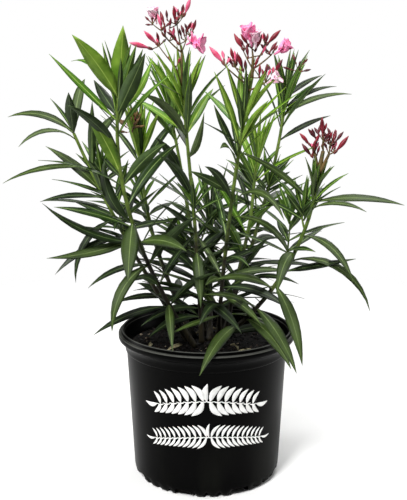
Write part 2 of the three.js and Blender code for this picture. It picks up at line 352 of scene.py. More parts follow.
def rings_mesh(rings):
    """The points and faces of a closed skin over rings of points, with a point at each end."""
    sides = len(rings[0])
    points = np.concatenate([[np.mean(rings[0], axis=0)], *rings, [np.mean(rings[-1], axis=0)]])
    last = len(points) - 1
    faces = []
    for side in range(sides):
        after = (side + 1) % sides
        faces.append([0, 1 + after, 1 + side])
        for ring in range(len(rings) - 1):
            low, high = 1 + ring * sides, 1 + (ring + 1) * sides
            faces.append([low + side, low + after, high + after, high + side])
        top = 1 + (len(rings) - 1) * sides
        faces.append([last, top + side, top + after])
    return points, faces


SEAM = np.array([0.31, 0.95, 0.05])  # any direction that no limb follows


def tube(line, radii, sides):
    """A closed round limb along a line of points. Returns its points, faces and the share along it."""
    line = np.asarray(line)
    along = np.gradient(line, axis=0)
    side = unit(np.cross(along[0], SEAM))
    rings = []
    for centre, ahead, radius in zip(line, along, radii):
        ahead = unit(ahead)
        side = unit(side - ahead * (side @ ahead))
        other = np.cross(ahead, side)
        angles = np.linspace(0, 2 * math.pi, sides, endpoint=False)[:, None]
        rings.append(centre + radius * (np.cos(angles) * side + np.sin(angles) * other))
    points, faces = rings_mesh(rings)
    share = np.concatenate([[0], np.repeat(np.linspace(0, 1, len(line)), sides), [1]])
    return points, faces, share


def limb_map(along):
    """A limb's map for its bark, which looks only at how far along it each point is."""
    return np.column_stack([np.full(len(along), 0.5), along])


# ---------------------------------------------------------------- stems

class Stem:
    """One shoot's centre line and radius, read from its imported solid's level rings."""

    def __init__(self, name):
        corners = np.array([v.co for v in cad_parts[f"stem_{name}"].data.vertices])
        levels = sorted(set(np.round(corners[:, 2], 5)))
        rings = [np.unique(np.round(corners[abs(corners[:, 2] - z) < 2e-5], 5), axis=0) for z in levels]
        centres = np.array([(ring.min(axis=0) + ring.max(axis=0)) / 2 for ring in rings])
        radii = [np.ptp(ring[:, 1]) / 2 for ring in rings]
        shares = np.linspace(0, 1, len(levels))
        self.curve = [np.polyfit(shares, centres[:, axis], 2) for axis in range(3)]
        self.shares = shares
        self.radii = radii
        self.length = sum(np.linalg.norm(b - a) for a, b in zip(centres, centres[1:]))

    def at(self, share):
        """The middle of the stem at a share of its length, 0 at the soil and 1 at the tip."""
        return np.array([np.polyval(curve, share) for curve in self.curve])

    def ahead(self, share):
        """The unit direction in which it grows there."""
        return unit(np.array([np.polyval(np.polyder(curve), share) for curve in self.curve]))

    def radius(self, share):
        """Its radius there."""
        return float(np.interp(share, self.shares, self.radii))


STEMS = {name: Stem(name) for name in STEM_NAMES}


# ---------------------------------------------------------------- leaves

LEAF_STEPS = 9
# Where a leaf's lengthwise lines run, from edge to edge on top. The middle two are the rib's edges and are
# shares of the rib's half width; the others are shares of the blade's. The two beneath are the rib's again.
LEAF_COLUMNS = (-1.0, -0.55, -1, 1, 0.55, 1.0)
UNDER_COLUMNS = (-1, 1)
LEAF_THICKNESS = 0.45 * MM
RIB_DEPTH = 0.8 * MM  # what the rib adds to that at the leaf's foot
STALK_HALF = 0.9 * MM
STALK_SHARE = 0.04  # of the leaf's length


def leaf_line(leaf):
    """The rib's points and directions, from the stem to the tip."""
    steps = (np.arange(LEAF_STEPS) + 0.5) / LEAF_STEPS
    pace = leaf["length"] / LEAF_STEPS
    ways = [direction(leaf["heading"] + leaf["sway"] * t, leaf["rise"] - leaf["bend"] * t) for t in steps]
    points = np.concatenate([[leaf["root"]], leaf["root"] + np.cumsum(ways, axis=0) * pace])
    ends = [ways[0], *[unit(a + b) for a, b in zip(ways, ways[1:])], ways[-1]]
    return points, ends


def leaf_half_width(t, width):
    """Half the blade's width at a share of its length: a short stalk, then a long lance, then a point."""
    if t <= STALK_SHARE:
        return STALK_HALF
    s = (t - STALK_SHARE) / (1 - STALK_SHARE)
    blade = (math.sin(math.pi * s ** 0.82) ** 0.92) if s < 1 else 0.0
    blade *= 1 - 0.12 * s ** 3
    return max(width / 2 * blade, STALK_HALF * (1 - s) + 0.12 * MM)


def leaf_shape(leaf):
    """The leaf's points, faces, each face's material and each point's place across and along it."""
    centres, ways = leaf_line(leaf)
    points, maps = [], []
    for i, (centre, ahead) in enumerate(zip(centres, ways)):
        t = i / LEAF_STEPS
        heading = math.radians(leaf["heading"] + leaf["sway"] * t)
        level = np.array([-math.sin(heading), math.cos(heading), 0.0])
        side = turned(level, ahead, leaf["roll"] + leaf["twist"] * t)
        out = np.cross(ahead, side)
        half = leaf_half_width(t, leaf["width"])
        rib = min(0.8, (0.6 * (1 - t) + 0.24) * MM / half)
        fold = math.radians(leaf["fold"] * (1 - 0.35 * t))
        wave = leaf["wave"] * math.sin(t * 17 + leaf["length"] * 900)
        for column, place in enumerate(LEAF_COLUMNS):
            across = place * rib if column in (2, 3) else place
            lift = half * (abs(across) * math.sin(fold) - leaf["droop"] * across ** 2 + wave * across)
            points.append(centre + side * half * across * math.cos(fold) + out * lift)
            maps.append((across / 2 + 0.5, t))
        depth = LEAF_THICKNESS + RIB_DEPTH * (1 - t) ** 1.5
        for place in UNDER_COLUMNS:
            across = place * rib
            points.append(centre + side * half * across * math.cos(fold) - out * depth)
            maps.append((across / 2 + 0.5, t))
    return np.array(points), *LEAF_FACES, np.array(maps)


def leaf_faces():
    """The faces that every leaf has, and their materials: 0 upper face, 1 rib, 2 underside."""
    faces, slots = [], []
    row = len(LEAF_COLUMNS) + len(UNDER_COLUMNS)
    for step in range(LEAF_STEPS):
        low, high = step * row, (step + 1) * row
        for a, b, slot in ((0, 1, 0), (1, 2, 0), (2, 3, 1), (3, 4, 0), (4, 5, 0),
                           (5, 7, 2), (7, 6, 1), (6, 0, 2)):
            faces.append([low + b, low + a, high + a, high + b])
            slots.append(slot)
    for ring, flip in ((0, False), (LEAF_STEPS * row, True)):
        cap = [ring + i for i in (0, 1, 2, 3, 4, 5, 7, 6)]
        faces.append(cap[::-1] if flip else cap)
        slots.append(1)
    return faces, slots


LEAF_FACES = leaf_faces()
LEAVES = {kind: Batch(f"leaves_{kind}", [upper, RIB_FINISHES[kind], under])
          for kind, (upper, under) in LEAF_FINISHES.items()}
EDGE = 2 * MM  # how far a leaf may pass the solids' own box
LIP_INSET = 7 * MM  # from the lip's outer edge to the middle of its band
LIP_CLEAR = 11 * MM  # how near to that middle a low leaf may come


def fits(points):
    """True if a leaf stays in the plant's own space, out of the soil and clear of the pot's lip."""
    low, high = np.array(CAD_BOX[0]) - EDGE, np.array(CAD_BOX[1]) + EDGE
    reach = np.hypot(points[:, 0], points[:, 1])
    in_soil = (reach < RIM_RADIUS) & (points[:, 2] < SOIL_TOP + 3 * MM)
    in_lip = (abs(reach - RIM_RADIUS + LIP_INSET) < LIP_CLEAR) & (points[:, 2] < POT_HEIGHT + 2 * MM)
    in_wall = (reach > SOIL_RADIUS - 4 * MM) & (reach < RIM_RADIUS + 2 * MM) & (points[:, 2] < POT_HEIGHT)
    outside = (points < low).any() or (points > high).any()
    return not (in_soil.any() or in_lip.any() or in_wall.any() or outside)


def grow_leaf(kind, root, heading, rise, length, width, bend, **habit):
    """Adds one leaf if there is room for it, shorter and steeper if that makes it fit."""
    leaf = dict(root=root, heading=heading, rise=rise, bend=bend, length=length, width=width,
                fold=14.0, droop=0.1, roll=0.0, twist=0.0, sway=0.0, wave=0.05)
    leaf.update(habit)
    for _ in range(5):
        if fits(leaf_line(leaf)[0][1:]):
            LEAVES[kind].add(*leaf_shape(leaf))
            return
        leaf["length"] *= 0.93
        leaf["rise"] += 3


# How each stem is clothed: the shares of its length where its leaves begin and end, the share of the leaves
# that grow in its tuft, in the middle and low down, their length and width in millimetres, how far the tuft
# opens (degrees from the stem), and its kinds of leaf from the tip down.
CLOTHES = {
    "far_left": dict(reach=(0.5, 1.0), kept=(0.3, 0.35, 0.6), length=100, width=13, opening=22,
                     kinds=("deep", "green", "deep"), seed=3),
    "left": dict(reach=(0.14, 1.0), kept=(0.6, 0.4, 0.8), length=108, width=15, opening=18,
                 kinds=("fresh", "green", "deep"), seed=5),
    "withered": dict(reach=(0.14, 1.0), kept=(0.9, 0.35, 1.0), length=104, width=13, opening=22,
                     kinds=("spring_lit_through", "green", "deep"), seed=8),
    "tall": dict(reach=(0.08, 0.96), kept=(1.0, 0.2, 1.0), length=112, width=14, opening=30,
                 kinds=("spring_lit_through", "green", "deep"), seed=2),
    "back": dict(reach=(0.08, 1.0), kept=(0.9, 0.28, 1.0), length=106, width=13, opening=24,
                 kinds=("fresh", "green", "deep"), seed=4),
    "front": dict(reach=(0.08, 0.88), kept=(1.0, 0.2, 1.0), length=106, width=13.5, opening=30,
                  kinds=("spring_lit_through", "green", "dull"), seed=9),
    "thin": dict(reach=(0.1, 1.0), kept=(0.9, 0.35, 1.0), length=98, width=11.5, opening=20,
                 kinds=("spring_lit_through", "fresh", "deep"), seed=6),
    "right_back": dict(reach=(0.1, 1.0), kept=(1.0, 0.45, 1.0), length=104, width=13, opening=24,
                       kinds=("fresh", "green", "deep"), seed=7),
    "right": dict(reach=(0.74, 0.93), kept=(0.7, 0.3, 0.3), length=62, width=11, opening=22,
                  kinds=("fresh", "dull", "dull"), seed=10),
    "short_back": dict(reach=(0.08, 1.0), kept=(1.0, 1.0, 1.0), length=112, width=14, opening=36,
                       kinds=("green", "deep", "deep"), seed=11),
}
WHORL_LOW = 30 * MM  # between whorls, low on a stem
WHORL_HIGH = 6 * MM  # and at its tip
WHORL_TURN = 60  # from one whorl of three to the next
TUFT_SHARE = 0.2  # of the stem's length, over which its leaves are young
LOW_AGE = 0.66  # from which a leaf is one of the low ones, where 0 is the tip's and 1 the lowest
SIDE_ARM = 38  # how steeply the lowest leaves stand out from the stem, past the tuft's opening
TO_LIGHT = unit(np.array([0.0, -1.0, 0.35]))  # the way that blades turn their faces


def roll_to_light(heading, rise, share, limit):
    """How far a blade rolls about its rib: a share of the turn that would face it to the light, up to a
    limit."""
    ahead = direction(heading, rise)
    side = direction(heading + 90, 0)
    out = np.cross(ahead, side)
    facing = out @ TO_LIGHT
    full = math.degrees(math.atan(-(side @ TO_LIGHT) / (facing if abs(facing) > 0.05 else 0.05)))
    return max(-limit, min(limit, share * full))


def clothe(stem, reach, kept, length, width, opening, kinds, seed):
    """Grows a stem's whorls of three from its tip down, old leaves longer, wider apart and drooping."""
    rng = random.Random(seed)
    start, crest = reach
    share = crest
    turn = rng.uniform(0, 120)
    while share > start:
        age = (crest - share) / (crest - start)
        young = max(0.0, 1 - (crest - share) / TUFT_SHARE)
        level = 0 if young > 0.1 else 1 if age < LOW_AGE else 2
        gap = WHORL_LOW + (WHORL_HIGH - WHORL_LOW) * young
        ahead = stem.ahead(share)
        for arm in range(3):
            if rng.random() > kept[level]:
                continue
            outward = direction(turn + 120 * arm + rng.uniform(-16, 16), 0)
            outward = unit(outward - ahead * (outward @ ahead))
            lean = math.radians(opening * (0.4 + 0.6 * (1 - young)) + 20 * (1 - young)
                                + SIDE_ARM * max(0.0, age - 0.35) ** 1.3 + rng.uniform(-9, 9))
            way = ahead * math.cos(lean) + outward * math.sin(lean)
            heading, rise = heading_and_rise(way)
            size = length * (1 - 0.36 * young ** 2) * rng.uniform(0.86, 1.12)
            kind = kinds[level] if rng.random() < 0.76 else kinds[min(level + 1, 2)]
            grow_leaf(kind, stem.at(share) + outward * stem.radius(share) * 0.6, heading, rise,
                      size * MM, width * MM * rng.uniform(0.72, 1.1) * (1 - 0.4 * young ** 2),
                      bend=rng.uniform(0, 22) + 34 * age * rng.uniform(0.3, 1.2),
                      roll=roll_to_light(heading, rise, 0.4, 30) + rng.uniform(-28, 28),
                      twist=rng.uniform(-25, 25), sway=rng.uniform(-14, 14), fold=10 + 16 * young,
                      droop=0.16 * age, wave=rng.uniform(0.02, 0.07))
        turn += WHORL_TURN + rng.uniform(-8, 8)
        share -= gap / stem.length * rng.uniform(0.85, 1.15)


# The leaves that give the plant its outline and show most plainly from the front: the stem, the share of
# its length, heading, rise at the stem, the bend down to the tip, length and width (mm), and kind.
OUTLINE = (
    ("far_left", 1.00, 170, 45, 65, 105, 13, "dull"),
    ("far_left", 0.97, 230, 35, 75, 108, 11, "dull"),
    ("far_left", 1.00, 275, 35, 10, 112, 17, "deep"),
    ("far_left", 1.00, 85, 70, 55, 115, 15, "dull"),
    ("far_left", 0.84, 180, 10, 40, 128, 12, "dull"),
    ("far_left", 0.84, 45, 85, 70, 110, 16, "dull"),
    ("far_left", 0.73, 170, 50, 25, 103, 17, "dull"),
    ("far_left", 0.70, 165, 10, 30, 100, 11, "deep"),
    ("far_left", 0.60, 220, -5, 90, 118, 12, "deep"),
    ("far_left", 0.52, 210, 0, 45, 117, 13, "deep"),
    ("left", 1.00, 222, 58, 20, 102, 24, "spring_lit_through"),
    ("left", 1.00, 300, 80, 2, 90, 25, "spring_lit_through"),
    ("left", 0.97, 140, 75, 85, 118, 14, "fresh"),
    ("left", 0.94, 300, 40, 0, 112, 20, "green"),
    ("left", 0.94, 45, 30, -40, 95, 13, "spring_lit_through"),
    ("left", 0.93, 115, 25, 0, 110, 16, "deep"),
    ("left", 0.91, 185, 45, 0, 118, 11, "fresh"),
    ("left", 0.89, 255, 20, 0, 108, 9, "deep"),
    ("left", 0.69, 230, 65, 20, 104, 19, "spring_lit_through"),
    ("left", 0.68, 115, 15, 5, 108, 9, "deep"),
    ("left", 0.50, 200, 35, -65, 100, 20, "deep"),
    ("left", 0.50, 270, -20, 25, 112, 24, "dull"),
    ("left", 0.44, 195, -20, -20, 125, 17, "dull"),
    ("left", 0.42, 200, 5, -40, 145, 17, "deep"),
    ("left", 0.42, 310, 20, 35, 108, 19, "dull"),
    ("left", 0.33, 230, -5, 85, 118, 17, "dull"),
    ("left", 0.17, 273, 5, 55, 104, 13, "dull"),
    ("withered", 0.90, 250, 80, 0, 88, 14, "green"),
    ("tall", 0.98, 115, 15, 0, 110, 9, "deep"),
    ("tall", 0.96, 245, 15, 5, 108, 9, "dull"),
    ("tall", 0.79, 230, 60, 50, 114, 13, "dull"),
    ("tall", 0.72, 285, 15, -40, 115, 11, "dull"),
    ("tall", 0.55, 240, 60, 40, 110, 14, "deep"),
    ("tall", 0.35, 275, -5, 60, 108, 18, "dull"),
    ("tall", 0.16, 305, 8, 40, 108, 17, "deep"),
    ("tall", 0.13, 215, 20, 50, 104, 15, "deep"),
    ("back", 0.16, 235, 25, 40, 100, 14, "deep"),
    ("front", 0.16, 255, 30, 60, 104, 15, "deep"),
    ("front", 0.24, 330, 15, 50, 108, 15, "deep"),
    ("back", 0.69, 250, 40, 15, 108, 14, "deep"),
    ("front", 0.82, 125, 40, 20, 108, 11, "fresh"),
    ("front", 0.79, 300, 35, 20, 106, 11, "dull"),
    ("front", 0.78, 240, 20, 5, 108, 14, "deep"),
    ("front", 0.71, 255, 40, 50, 114, 12, "dull"),
    ("front", 0.58, 245, 50, 40, 110, 11, "deep"),
    ("front", 0.56, 305, 50, 105, 130, 13, "dull"),
    ("right_back", 0.98, 50, 30, 20, 104, 10, "deep"),
    ("right_back", 0.94, 35, 35, 35, 112, 10, "deep"),
    ("right_back", 0.91, 5, 40, 45, 112, 13, "dull"),
    ("right_back", 0.81, 30, 30, 20, 108, 10, "deep"),
    ("right", 0.85, 345, 15, 30, 120, 14, "dull"),
    ("right", 0.84, 60, 45, 60, 60, 11, "deep"),
    ("right", 0.84, 190, 50, 30, 128, 14, "dull"),
    ("right", 0.82, 300, 25, 40, 108, 11, "dull"),
    ("right", 0.69, 305, 10, 70, 114, 13, "dull"),
    ("right", 0.60, 250, 15, 70, 108, 18, "dull"),
    ("right", 0.56, 335, 20, 95, 142, 13, "dull"),
    ("right", 0.56, 200, 75, 75, 116, 14, "dull"),
    ("right", 0.50, 335, 15, 0, 102, 13, "deep"),
    ("right", 0.42, 290, -20, 50, 128, 18, "dull"),
    ("right", 0.40, 220, 35, 40, 110, 17, "dull"),
    ("right", 0.28, 295, -10, 40, 126, 18, "dull"),
    ("right", 0.28, 225, 35, 30, 110, 15, "dull"),
    ("right", 0.21, 300, 5, 50, 122, 19, "dull"),
    ("right", 0.17, 245, 0, 34, 172, 18, "dull"),
    ("right", 0.10, 20, 15, 30, 84, 14, "deep"),
)


def grow_outline():
    """Grows the listed leaves, each with a little chance in its roll, twist and sway."""
    rng = random.Random(41)
    for name, share, heading, rise, bend, length, width, kind in OUTLINE:
        roll = roll_to_light(heading, rise - bend / 2, 0.6, 45) + rng.uniform(-8, 8)
        grow_leaf(kind, STEMS[name].at(share), heading, rise, length * MM, width * MM, bend=bend,
                  roll=roll, twist=rng.uniform(-12, 12), sway=rng.uniform(-5, 5),
                  fold=11, droop=0.12, wave=0.04)


# Side shoots, each with its own small tuft: the stem, the share of its length, heading, rise and length
# (mm). The long ones fill the plant out at its sides and back.
SIDE_SHOOTS = (
    ("tall", 0.46, 250, 66, 30), ("right_back", 0.55, 300, 55, 34), ("far_left", 0.72, 100, 60, 30),
    ("right", 0.72, 170, 66, 26), ("short_back", 0.45, 150, 34, 80), ("short_back", 0.55, 40, 40, 84),
    ("back", 0.34, 60, 36, 90), ("right_back", 0.46, 95, 40, 84), ("withered", 0.46, 120, 40, 80),
    ("far_left", 0.46, 130, 46, 76), ("right", 0.5, 70, 54, 76),
)
# The whorls of a side shoot: the share of its length, the leaves' lean from it and their size.
SHORT_WHORLS = ((0.5, 55, 0.9), (0.75, 44, 1.0), (0.9, 32, 0.9), (1.0, 16, 0.7))
LONG_WHORLS = ((0.36, 70, 1.3), (0.56, 60, 1.35), (0.74, 48, 1.25), (0.88, 34, 1.05), (0.98, 20, 0.85))
LONG_SHOOT = 60  # mm
SHOOT_CURVE = 16  # how much steeper a shoot is at its tip
SHOOTS = Batch("side_shoots", [BARK])


def grow_side_shoots():
    """Grows the side shoots and their whorls of three, the youngest leaves a lighter green."""
    rng = random.Random(77)
    for name, share, heading, rise, length in SIDE_SHOOTS:
        root = STEMS[name].at(share)
        line = [root + direction(heading, rise + SHOOT_CURVE * t) * length * MM * t
                for t in np.linspace(0, 1, 7)]
        points, faces, along = tube(line, np.linspace(1.7, 0.9, 7) * MM, 7)
        SHOOTS.add(points, faces, maps=limb_map(0.8 + 0.2 * along))
        turn = rng.uniform(0, 120)
        for level, (place, lean, size) in enumerate(LONG_WHORLS if length > LONG_SHOOT else SHORT_WHORLS):
            foot = root + (line[-1] - root) * place
            kind = "fresh" if place > 0.85 else "green"
            for arm in range(3):
                outward = direction(turn + 120 * arm + WHORL_TURN * level, 0)
                way = unit(direction(heading, rise + SHOOT_CURVE) * math.cos(math.radians(lean))
                           + outward * math.sin(math.radians(lean)))
                out_heading, out_rise = heading_and_rise(way)
                grow_leaf(kind, foot, out_heading, out_rise, 62 * MM * size * rng.uniform(0.8, 1.15),
                          9 * MM * size, bend=rng.uniform(0, 25),
                          roll=roll_to_light(out_heading, out_rise, 0.4, 30) + rng.uniform(-25, 25),
                          fold=20, sway=rng.uniform(-12, 12))


# ---------------------------------------------------------------- bark and clothing

def grow_stubs():
    """The dry stalks that shed leaves leave on the bare lower stems."""
    rng = random.Random(31)
    for stem in STEMS.values():
        for share in np.arange(0.04, 0.4, 12 * MM / stem.length):
            for _ in range(3):
                if rng.random() < 0.45:
                    continue
                root = stem.at(share)
                way = direction(rng.uniform(0, 360), rng.uniform(20, 60))
                length = rng.uniform(6, 20) * MM
                line = [root + way * length * t - UP * length * 0.2 * t * t for t in (0, 0.4, 0.75, 1)]
                points, faces, along = tube(line, [r * MM for r in (1.1, 0.7, 0.6, 0.4)], 5)
                SHOOTS.add(points, faces, maps=limb_map(along * 0.2))


NODE_SPACING = 30 * MM  # between the swellings where leaves were


def build_stems():
    """Covers each stem in bark: a slightly crooked limb that swells at its nodes."""
    grow_stubs()
    for name, stem in STEMS.items():
        rng = random.Random(name)
        batch = Batch(f"stem_bark_{name}", [BARK])
        shares = np.linspace(0, 1, 90)
        wobble = [rng.uniform(-1, 1) for _ in range(6)]
        line = []
        for share in shares:
            ease = math.sin(math.pi * share) * 1.6 * MM
            bend = ease * np.array([math.sin(9 * share + wobble[0]) * wobble[1],
                                    math.sin(7 * share + wobble[2]) * wobble[3], 0])
            line.append(stem.at(share) + bend)
        knot = [1 + 0.09 * max(0.0, math.cos(share * stem.length / NODE_SPACING * 2 * math.pi)) ** 8
                for share in shares]
        radii = [stem.radius(share) * k * (0.8 + 0.2 * share) for share, k in zip(shares, knot)]
        line[0][2] = SOIL_TOP - 2 * MM
        points, faces, along = tube(line, radii, 12)
        batch.add(points, faces, maps=limb_map(along))
        batch.build("stem", [f"stem_{name}"])


def build_leaves():
    """Clothes the whole plant, and says which leaves stand in for which solids."""
    for name, clothes in CLOTHES.items():
        clothe(STEMS[name], **clothes)
    grow_outline()
    grow_side_shoots()
    SHOOTS.build("stem")
    replaced = {
        "fresh": [f"leaf_tuft_{name}" for name in STEM_NAMES],
        "green": [f"leaf_mass_mid_{name}" for name in STEM_NAMES],
        "deep": [f"leaf_mass_low_{name}" for name in STEM_NAMES],
    }
    for kind, batch in LEAVES.items():
        slot = "young_leaf" if kind in ("spring_lit_through", "fresh") else "old_leaf"
        batch.build(slot, replaced.get(kind, ()))


# ---------------------------------------------------------------- flowers

FLOWER_FINISHES = {
    "crimson": plain_finish("bud_crimson", "4a0614", "8e142a", 0.42),
    "rose": plain_finish("bud_rose", "b92a50", "e36f92", 0.42),
    "dusk": plain_finish("bud_dusk", "28070d", "6a1624", 0.45),
    "brown": plain_finish("bud_brown", "33210f", "7a5c34", 0.7),
    "pink": plain_finish("petal_pink", "e8609f", "f9a8c9", 0.5),
    "pale": plain_finish("petal_pale", "f3b3cc", "fdeaf1", 0.5),
    "calyx": plain_finish("calyx", "4e1a1e", "7d3a34", 0.55),
    "stalk": plain_finish("flower_stalk", "3a3216", "6a5428", 0.6),
}
FLOWERS = {kind: Batch(f"flower_{kind}", [finish]) for kind, finish in FLOWER_FINISHES.items()}
BUD_PROFILE = (0.22, 0.3, 0.55, 0.86, 1.0, 0.88, 0.55, 0.12)
PETAL_CURL = -34
PETAL_SKIN = 0.25 * MM  # half its thickness


def grow_stalk(start, end, thick, thin):
    """A stalk that sags a little on its way. thick and thin are its radii at its foot and its top."""
    middle = (start + end) / 2 + np.array([0, 0, -0.06]) * np.linalg.norm(end - start)
    line = [(1 - t) ** 2 * start + 2 * t * (1 - t) * middle + t * t * end for t in np.linspace(0, 1, 6)]
    points, faces, _ = tube(line, np.linspace(thick, thin, 6), 6)
    FLOWERS["stalk"].add(points, faces)


def grow_bud(root, tip, kind, rng):
    """A spindle-shaped bud, slightly curved, in a small cup of sepals."""
    way = tip - root
    length = float(np.linalg.norm(way))
    curl = np.cross(way, direction(rng.uniform(0, 360), 0)) * 0.06
    line = [root + way * t + curl * t * t for t in np.linspace(0, 1, len(BUD_PROFILE))]
    wide = length * 0.1 + 0.5 * MM
    points, faces, _ = tube(line, [wide * p for p in BUD_PROFILE], 7)
    FLOWERS[kind].add(points, faces)
    line = [root + way * t * 0.2 for t in np.linspace(-0.3, 1, 4)]
    points, faces, _ = tube(line, [wide * p for p in (0.3, 0.55, 0.62, 0.4)], 6)
    FLOWERS["calyx"].add(points, faces)


def grow_petal(kind, root, way, side, length, width):
    """One petal, a thin curved blade that widens to a blunt, slightly askew tip."""
    out = np.cross(way, side)
    rings = []
    for t in np.linspace(0, 1, 7):
        angle = math.radians(PETAL_CURL) * t
        centre = root + length * t * (way * math.cos(angle / 2) + out * math.sin(angle / 2))
        half = width / 2 * (0.16 + 0.84 * math.sin(math.pi * min(1, 0.1 + 0.8 * t)) ** 0.8)
        lift = out * math.cos(angle) - way * math.sin(angle)
        rings.append([centre + side * (half * x + 0.1 * width * t)
                      + lift * (y * PETAL_SKIN + 0.22 * half * x * x)
                      for x, y in ((-1, 0), (-0.5, 1), (0.5, 1), (1, 0), (0.5, -1), (-0.5, -1))])
    points, faces = rings_mesh(np.array(rings))
    FLOWERS[kind].add(points, faces)


def grow_flower(root, way, size, kind, spread, rng):
    """An open flower: a narrow tube and five askew petals. spread is how far they open, in degrees."""
    tube_length = size * 0.5
    points, faces, _ = tube([root + way * tube_length * t for t in np.linspace(0, 1, 4)],
                            [size * r for r in (0.05, 0.07, 0.1, 0.15)], 7)
    FLOWERS[kind].add(points, faces)
    first = unit(np.cross(way, np.array([0.2, 0.3, 0.93])))
    mouth = root + way * tube_length * 0.85
    for i in range(5):
        outward = turned(first, way, 72 * i + rng.uniform(-8, 8))
        opening = math.radians(spread + rng.uniform(-8, 8))
        ahead = way * math.cos(opening) + outward * math.sin(opening)
        side = turned(unit(np.cross(ahead, outward)), ahead, 14)
        grow_petal(kind, mouth, ahead, side, size * rng.uniform(0.8, 0.95), size * 0.8)


# The flower heads as they are seen from the front. Everything is in millimetres across and up from the
# stem's tip. A stalk has its foot, its top and its thickness, and a bud its foot, its tip and its kind.
HEADS = {
    "tall": dict(
        stalks=((0, 0, 0, 46, 4.2), (0, 46, -6, 83, 2.4), (0, 46, -17, 61, 2.6), (-17, 61, -28, 75, 2.1),
                (-28, 75, -39, 83, 1.7), (0, 0, -8, 26, 2.8), (-8, 26, -32, 55, 2.2), (0, 46, 6, 62, 2.2),
                (6, 62, 11, 70, 1.6), (-6, 83, 2, 92, 1.6)),
        buds=((4, 94, 14, 117, "rose"), (0, 96, 3, 109, "dusk"), (-4, 91, -5, 104, "dusk"),
              (-8, 84, -11, 107, "crimson"), (-23, 82, -30, 101, "crimson"), (-19, 88, -21, 102, "dusk"),
              (-16, 78, -14, 92, "crimson"), (-4, 57, -19, 78, "crimson"), (-26, 76, -33, 96, "rose"),
              (-42, 86, -50, 93, "crimson"), (-39, 82, -49, 82, "dusk"), (-42, 51, -72, 61, "rose"),
              (-33, 56, -52, 75, "rose"), (-31, 58, -35, 74, "crimson"), (6, 73, 14, 88, "crimson"),
              (14, 72, 21, 90, "crimson"), (0, 65, -3, 79, "dusk"), (11, 68, 17, 75, "dusk"),
              (-12, 64, -10, 80, "rose"), (-22, 66, -24, 82, "crimson"), (-9, 66, -20, 74, "dusk"))),
    "front": dict(
        stalks=((0, 0, 1, 26, 4.6), (1, 26, 0, 36, 2.8), (0, 12, -11, 33, 2.2), (3, 16, 17, 40, 2.4),
                (3, 12, 24, 28, 2.4), (-4, -8, -21, 13, 2.4), (-4, -10, -34, 14, 2.4),
                (-4, -16, 17, -6, 2.6), (17, -6, 26, 2, 2.0)),
        buds=((0, 38, 5, 63, "rose"), (-1, 37, -1, 57, "rose"), (-4, 39, -14, 54, "crimson"),
              (-11, 34, -24, 54, "crimson"), (-10, 38, -16, 49, "dusk"), (4, 33, 12, 53, "crimson"),
              (17, 43, 15, 56, "dusk"), (18, 43, 21, 55, "dusk"), (18, 40, 35, 60, "crimson"),
              (21, 30, 31, 45, "crimson"), (18, 31, 16, 42, "dusk"), (27, 4, 39, 22, "crimson"),
              (9, 0, 9, 16, "crimson"), (17, 2, 19, 17, "dusk"), (3, 12, 8, 26, "crimson"),
              (-23, 20, -28, 37, "crimson"), (-21, 18, -22, 34, "rose"), (-19, 16, -18, 32, "crimson"),
              (-24, 14, -31, 27, "dusk"), (-11, 8, -18, 30, "crimson"), (-7, 5, -10, 22, "dusk"),
              (-35, 16, -53, 39, "rose"), (12, 28, 17, 40, "rose"), (-5, 24, -8, 40, "dusk"))),
    "right": dict(
        stalks=((0, -6, 6, 22, 7.4), (0, -6, -5, 20, 5.6), (1, -6, 13, 18, 5.4), (6, 22, 5, 36, 2.6),
                (-5, 20, -9, 26, 2.2), (-5, 20, -2, 34, 2.2), (13, 18, 20, 21, 2.2), (13, 18, 15, 30, 2.4),
                (15, 30, 19, 33, 1.8)),
        buds=((5, 40, 1, 66, "crimson"), (6, 46, 9, 59, "crimson"), (-1, 36, -15, 51, "dusk"),
              (-3, 38, -10, 51, "dusk"), (-12, 30, -25, 46, "crimson"), (-8, 14, -23, 31, "dusk"),
              (-8, 16, -5, 36, "crimson"), (-2, 16, 1, 29, "crimson"), (12, 32, 16, 48, "crimson"),
              (17, 32, 23, 46, "crimson"), (21, 33, 31, 48, "dusk"), (16, 22, 22, 34, "crimson"),
              (20, 20, 39, 41, "crimson"), (4, 28, 8, 42, "dusk"), (9, 34, 11, 48, "dusk"))),
}
# The flowers that are open or nearly so: the head, foot and tip as above, kind, and how far the petals
# spread (degrees).
BLOOMS = (
    ("tall", 6, 56, 26, 66, "pink", 52), ("tall", 12, 58, 38, 56, "pink", 40),
    ("tall", -34, 84, -41, 109, "pale", 14), ("front", -1, 38, -8, 67, "pink", 10),
    ("front", 27, 28, 48, 43, "pink", 12), ("front", 18, -8, 38, 4, "pale", 22),
    ("front", 4, 36, 2, 60, "pale", 10),
)
HEAD_DEPTH = 8  # how far a fork may be before or behind the one below it (mm)
TWIG = 0.8 * MM  # the radius of a bud's own stalk at its foot
TWIG_TIP = 0.7 * MM


def head_place(name, across, depth, up):
    """A place in a flower head, measured in millimetres from its stem's tip."""
    return STEMS[name].at(1) + np.array([across, depth, up]) * MM


